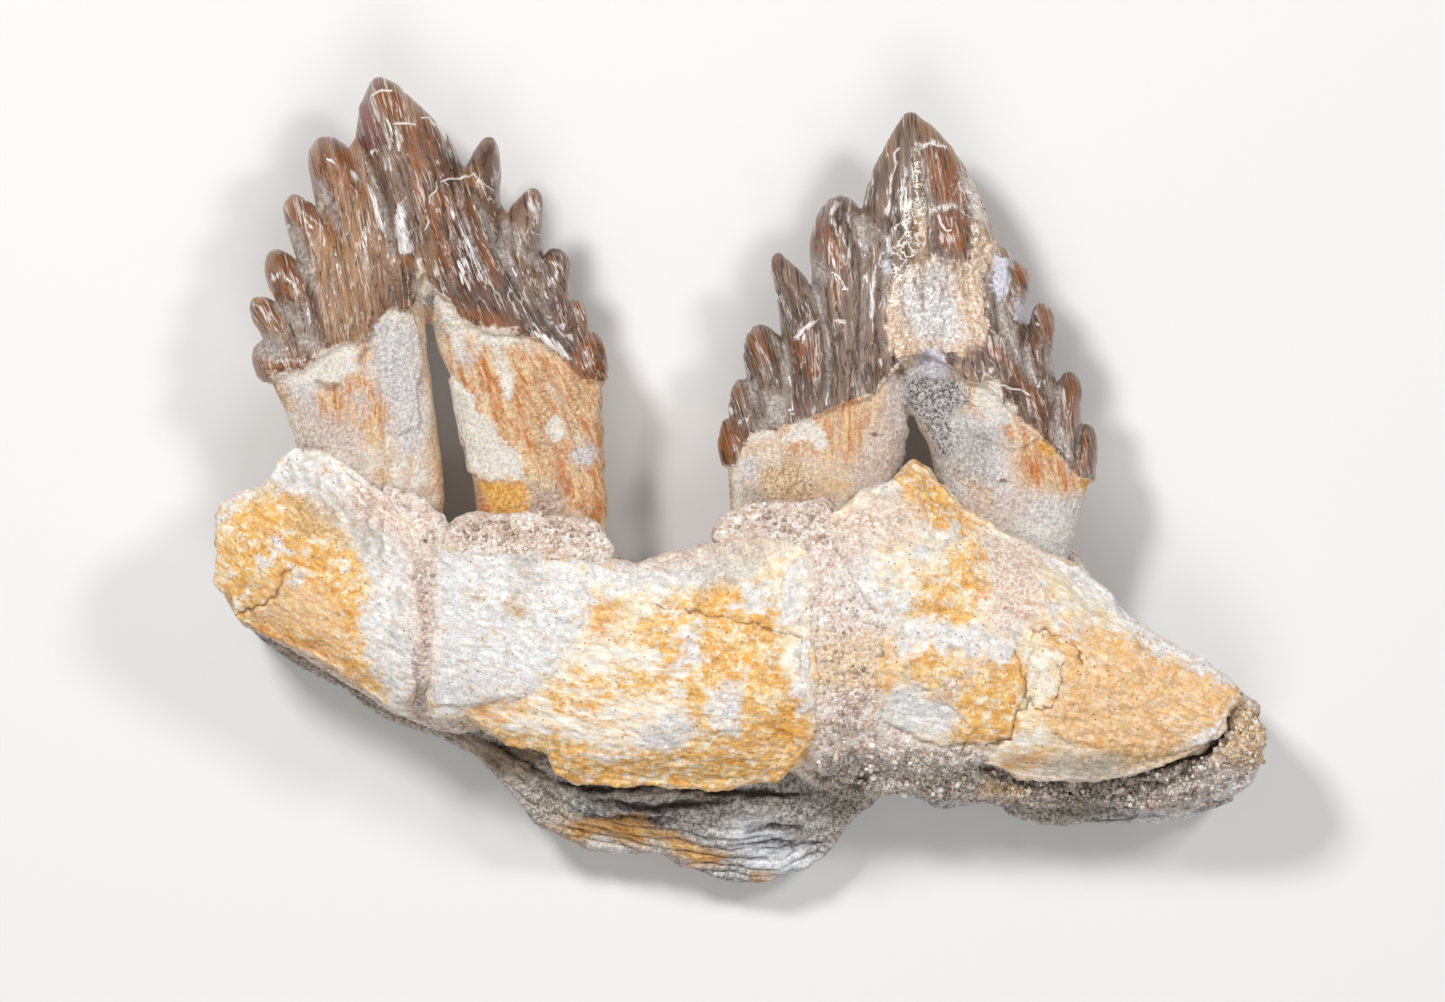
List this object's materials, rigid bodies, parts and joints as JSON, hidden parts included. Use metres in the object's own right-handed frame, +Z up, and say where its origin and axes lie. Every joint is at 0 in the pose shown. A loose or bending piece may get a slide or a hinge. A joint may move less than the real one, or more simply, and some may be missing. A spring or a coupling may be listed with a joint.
{
  "type": "fossil whale jaw section with two cheek teeth",
  "caption": "Section of a fossil archaeocete jaw lying on its inner side, with serrated double-rooted cheek teeth in sockets, broken bone walls and sandstone between them.",
  "frame": {"origin": "under the middle of the piece, on the surface that it lies on", "axes": "+Z up, out of the jaw's outer side; +X along the jaw; the teeth point to +Y"},
  "size_m": [0.2302, 0.177, 0.0478],
  "materials": {
    "tooth": "fossil enamel, grooved and semi-gloss, over matt orange root dentine",
    "outer_bone": "fossil bone, ochre and chalk-white patches, fibrous, matt",
    "inner_bone": "layered grey-brown fossil bone, rough",
    "sandstone": "mauve-grey sandy phosphatic sandstone, granular"
  },
  "bodies": {
    "root": {"left_tooth": "tooth", "right_tooth": "tooth", "left_bone": "outer_bone", "middle_bone": "outer_bone", "right_bone": "outer_bone", "inner_bone": "inner_bone", "matrix": "sandstone"}
  },
  "joints": []
}
